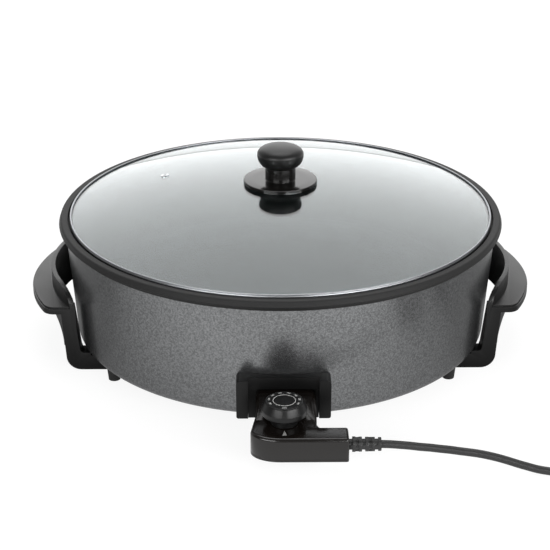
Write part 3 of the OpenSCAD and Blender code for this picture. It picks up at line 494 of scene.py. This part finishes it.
def makeDial():
    r, topR, collar, curve, lip = dial["r"], dial["topR"], dial["collarR"], dial["round"], dial["lip"]
    low, shoulder, top, sunk = dial["low"], dial["shoulder"], dial["top"], dial["sunk"]
    body = [(dial["boreR"], low), (collar - 0.4, low), (collar, low + 0.4)]
    body += bend(collar + curve, shoulder - curve, curve, 180, 90)
    body += bend(r - curve, shoulder + curve, curve, -90, 0)
    body += bend(r - lip, shoulder + 1.4 + dial["skirt"], lip, 0, 25, 3)
    body += bend(topR - curve, top - curve, curve, 25, 85)
    # inside the numbers the top is sunk a little
    body += [(topR - 3, top), (topR * 0.64, top), (topR * 0.6, top - sunk), (1, top - sunk)]
    standsFor(turned("dialTurned", body, dial["at"]), "dial", "black_plastic", dialPhenolic)
    printScale(top)


def printScale(top):
    # numbers round the top, and a thin ring inside them
    marks = []
    x, y = dial["at"]
    for i, mark in enumerate(dial["marks"] + ("OFF",)):
        turn = dial["offAt"] if mark == "OFF" else dial["from"] + dial["step"] * i
        a = math.radians(turn)
        deselectAll()
        place = ((x + dial["scaleR"] * math.cos(a)) * mm, (y + dial["scaleR"] * math.sin(a)) * mm,
                 (top + dial["inkHigh"]) * mm)
        bpy.ops.object.text_add(location=place, rotation=(0, 0, a - math.pi / 2))
        made = bpy.context.object
        made.data.body = mark
        made.data.size = dial["digits"] * mm
        made.data.align_x = "CENTER"
        made.data.align_y = "CENTER"
        made.data.extrude = dial["inkHigh"] * mm
        made.data.offset = dial["inkBold"] * mm
        bpy.ops.object.convert(target="MESH")
        bpy.ops.object.transform_apply(location=True, rotation=True, scale=True)
        marks.append(bpy.context.object)
    deselectAll()
    bpy.ops.mesh.primitive_torus_add(major_radius=dial["ringR"] * mm, minor_radius=dial["ringWide"] * mm,
                                     major_segments=72, minor_segments=8,
                                     location=(x * mm, y * mm, (top - 0.06) * mm))
    bpy.ops.object.mode_set(mode="EDIT")
    bpy.ops.transform.resize(value=(1, 1, 0.35))
    bpy.ops.object.mode_set(mode="OBJECT")
    bpy.ops.object.transform_apply(location=True, rotation=True, scale=True)
    scale = bpy.context.object
    for made in marks:
        made.select_set(True)
    bpy.ops.object.join()
    scale.name = "dialScale"
    scale.data.materials.clear()
    scale.data.materials.append(padInk)
    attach(scale, "temperature_dial")
    print("dial scale printed")


makeDial()

# pointer: light paint in its recess in front of the dial
pointer = {"tip": (0, -229.15), "wide": 4.2, "long": 8.5, "floor": 35.6, "thick": 0.34, "fill": 0.94,
           "inset": 0.3, "edge": 0.1}


def makePointer():
    deselectAll()
    x, y = pointer["tip"]
    bpy.ops.mesh.primitive_circle_add(vertices=3, radius=1, fill_type="NGON")
    piece = bpy.context.object
    piece.name = "pointerPaint"
    bpy.ops.object.mode_set(mode="EDIT")
    bpy.ops.mesh.select_all(action="SELECT")
    # the triangle in a circle of radius 1 is sqrt(3) wide and 1.5 long
    bpy.ops.transform.resize(value=(pointer["wide"] * mm / math.sqrt(3) * pointer["fill"],
                                    pointer["long"] * mm / 1.5 * pointer["fill"], 1))
    bpy.ops.mesh.extrude_region_move(TRANSFORM_OT_translate={"value": (0, 0, pointer["thick"] * mm)})
    bpy.ops.mesh.select_all(action="SELECT")
    bpy.ops.mesh.normals_make_consistent(inside=False)
    bpy.ops.object.mode_set(mode="OBJECT")
    high = max(v.co.y for v in piece.data.vertices)
    piece.location = (x * mm, (y - pointer["inset"]) * mm - high, pointer["floor"] * mm)
    bpy.ops.object.transform_apply(location=True, rotation=True, scale=True)
    bevel = piece.modifiers.new("edges", "BEVEL")
    bevel.width = pointer["edge"] * mm
    bevel.segments = 2
    bpy.ops.object.modifier_apply(modifier=bevel.name)
    piece.data.materials.append(pointerInk)
    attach(piece, "control")
    print("pointer painted")


makePointer()

mainsCord.data.materials.append(finishes["black_rubber"])
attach(mainsCord, "control")
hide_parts("mains_cord", "cord_coil", "cord_tail")

# studio: a pale board that keeps the object's shadow, a white sweep behind it, and soft light
# how strong the board's glow shows in a mirror, in front of the object, beside it and behind it: painted
# light in front and behind, painted shade beside it; and the two stretches of Y in metres over which that
# changes; sky and sweep are the same for the room
studio = {"board": "#747474", "boardRough": 0.9, "size": 14, "centreY": 3, "below": 0.4, "boardGlow": 0.87,
          "mirrorLightFront": 1.25, "mirrorShadeBeside": 0.2, "mirrorLightRear": 1.5, "frontFade": (-0.27, -0.05),
          "rearFade": (0.15, 0.4),
          "whiteFrom": 0.6, "whiteTo": 1.4, "whiter": 1.2, "sky": 0.5, "skyBehind": 0.2,
          "skyFade": (-0.6, 0.5), "frontGlow": 0.25, "sweepFade": (0.0, 0.45), "sweepSide": 0.7,
          "sideFade": (0.25, 0.6)}
# soft boxes: place, width and depth in metres, power in watts; all are aimed at the middle of the object
lamps = {"softLeft": ((-1.08, -1.76, 0.84), (1.5, 0.5), 22),
         "softRight": ((1.38, -1.58, 0.84), (2.0, 0.5), 40),
         "softTop": ((0, 0.42, 1.95), (1.5, 0.75), 11),
         "softBack": ((0, 2.6, 1.96), (3.2, 4.46), 43)}
aimAt = (0, 0, 0.08)


def shownTo(tree):
    # 1 where the background is seen straight, in a reflection or through glass; 0 for the light that it gives
    ways = addNode(tree, "ShaderNodeLightPath")
    seen = addNode(tree, "ShaderNodeMath", {0: ways.outputs["Is Camera Ray"],
                                            1: ways.outputs["Is Glossy Ray"]}, operation="MAXIMUM")
    seen = addNode(tree, "ShaderNodeMath", {0: seen.outputs[0], 1: ways.outputs["Is Transmission Ray"]},
                   operation="MAXIMUM")
    return ways, seen.outputs[0]


def makeBoard():
    deselectAll()
    # it lies a little below the feet, so that the two faces don't share a plane
    bpy.ops.mesh.primitive_grid_add(x_subdivisions=4, y_subdivisions=4, size=studio["size"],
                                    location=(0, studio["centreY"], -studio["below"] * mm))
    board = bpy.context.object
    board.name = "paleBoard"
    bpy.ops.object.transform_apply(location=True, rotation=True, scale=True)
    made, tree, shader, where = newMaterial("paintedBoard")
    setShader(tree, shader, Base_Color=hexColour(studio["board"]), Roughness=studio["boardRough"],
              Specular_IOR_Level=0.0)
    ways, seen = shownTo(tree)
    spot = addNode(tree, "ShaderNodeSeparateXYZ", {0: where})
    # in a reflection the board's glow is painted light, bright in front, fading to a painted shade beside the
    # object, and bright again behind it
    near, beside = studio["frontFade"]
    front = addNode(tree, "ShaderNodeMapRange", {"Value": spot.outputs["Y"], "From Min": near,
                                                "From Max": beside, "To Min": studio["mirrorLightFront"],
                                                "To Max": studio["mirrorShadeBeside"]})
    beside, behind = studio["rearFade"]
    rear = addNode(tree, "ShaderNodeMapRange", {"Value": spot.outputs["Y"], "From Min": beside,
                                               "From Max": behind, "To Min": studio["mirrorShadeBeside"],
                                               "To Max": studio["mirrorLightRear"]})
    mirror = addNode(tree, "ShaderNodeMath", {0: front.outputs[0], 1: rear.outputs[0]}, operation="MAXIMUM")
    # seen straight it turns to plain white away from the object
    reach = addNode(tree, "ShaderNodeVectorMath", {0: where}, operation="LENGTH")
    far = addNode(tree, "ShaderNodeMapRange", {"Value": reach.outputs["Value"],
                                              "From Min": studio["whiteFrom"], "From Max": studio["whiteTo"],
                                              "To Min": 1.0, "To Max": studio["whiter"]})
    shown = addNode(tree, "ShaderNodeMix", {"Factor": ways.outputs["Is Camera Ray"], "A": mirror.outputs[0],
                                            "B": far.outputs[0]}, data_type="FLOAT")
    shown = addNode(tree, "ShaderNodeMath", {0: seen, 1: shown.outputs[0]}, operation="MULTIPLY")
    glow = addNode(tree, "ShaderNodeMath", {0: shown.outputs[0], 1: studio["boardGlow"]},
                   operation="MULTIPLY")
    light = addNode(tree, "ShaderNodeEmission", {"Color": hexColour("#ffffff"), "Strength": glow.outputs[0]})
    both = addNode(tree, "ShaderNodeAddShader", {0: shader.outputs[0], 1: light.outputs[0]})
    endWith(tree, both)
    board.data.materials.append(made)


def makeRoom():
    world = bpy.data.worlds.new("studioWorld")
    bpy.context.scene.world = world
    world.use_nodes = True
    tree = world.node_tree
    tree.nodes.clear()
    ways, seen = shownTo(tree)
    way = addNode(tree, "ShaderNodeTexCoord")
    aim = addNode(tree, "ShaderNodeSeparateXYZ", {0: way.outputs["Generated"]})
    # the room: the light on the object comes from the front, the white sweep stands behind
    near, behind = studio["skyFade"]
    sky = addNode(tree, "ShaderNodeMapRange", {"Value": aim.outputs["Y"], "From Min": near,
                                              "From Max": behind, "To Min": studio["sky"],
                                              "To Max": studio["skyBehind"]})
    near, behind = studio["sweepFade"]
    sweep = addNode(tree, "ShaderNodeMapRange", {"Value": aim.outputs["Y"], "From Min": near,
                                                "From Max": behind, "To Min": studio["frontGlow"],
                                                "To Max": 1.0})
    middle, beside = studio["sideFade"]
    side = addNode(tree, "ShaderNodeMath", {0: aim.outputs["X"]}, operation="ABSOLUTE")
    side = addNode(tree, "ShaderNodeMapRange", {"Value": side.outputs[0], "From Min": middle,
                                               "From Max": beside, "To Min": 1.0,
                                               "To Max": studio["sweepSide"]})
    sweep = addNode(tree, "ShaderNodeMath", {0: sweep.outputs[0], 1: side.outputs[0]}, operation="MULTIPLY")
    mirrored = addNode(tree, "ShaderNodeMath", {0: sweep.outputs[0], 1: ways.outputs["Is Camera Ray"]},
                       operation="MAXIMUM")
    soft = addNode(tree, "ShaderNodeBackground", {"Color": hexColour("#ffffff"), "Strength": sky.outputs[0]})
    white = addNode(tree, "ShaderNodeBackground", {"Color": hexColour("#ffffff"),
                                                   "Strength": mirrored.outputs[0]})
    both = addNode(tree, "ShaderNodeMixShader", {0: seen, 1: soft.outputs[0], 2: white.outputs[0]})
    addNode(tree, "ShaderNodeOutputWorld", {"Surface": both.outputs[0]})


def makeLamps():
    # two wide soft boxes beside the camera, one over the lid, and a broad one behind
    for name, (place, size, power) in lamps.items():
        bpy.ops.object.light_add(type="AREA", location=place)
        lamp = bpy.context.object
        lamp.name = name
        lamp.data.shape = "RECTANGLE"
        lamp.data.size, lamp.data.size_y = size
        lamp.data.energy = power
        lamp.rotation_euler = (Vector(aimAt) - Vector(place)).to_track_quat("-Z", "Y").to_euler()


makeBoard()
makeRoom()
makeLamps()
bpy.context.scene.view_settings.view_transform = "Standard"
print("studio lit")
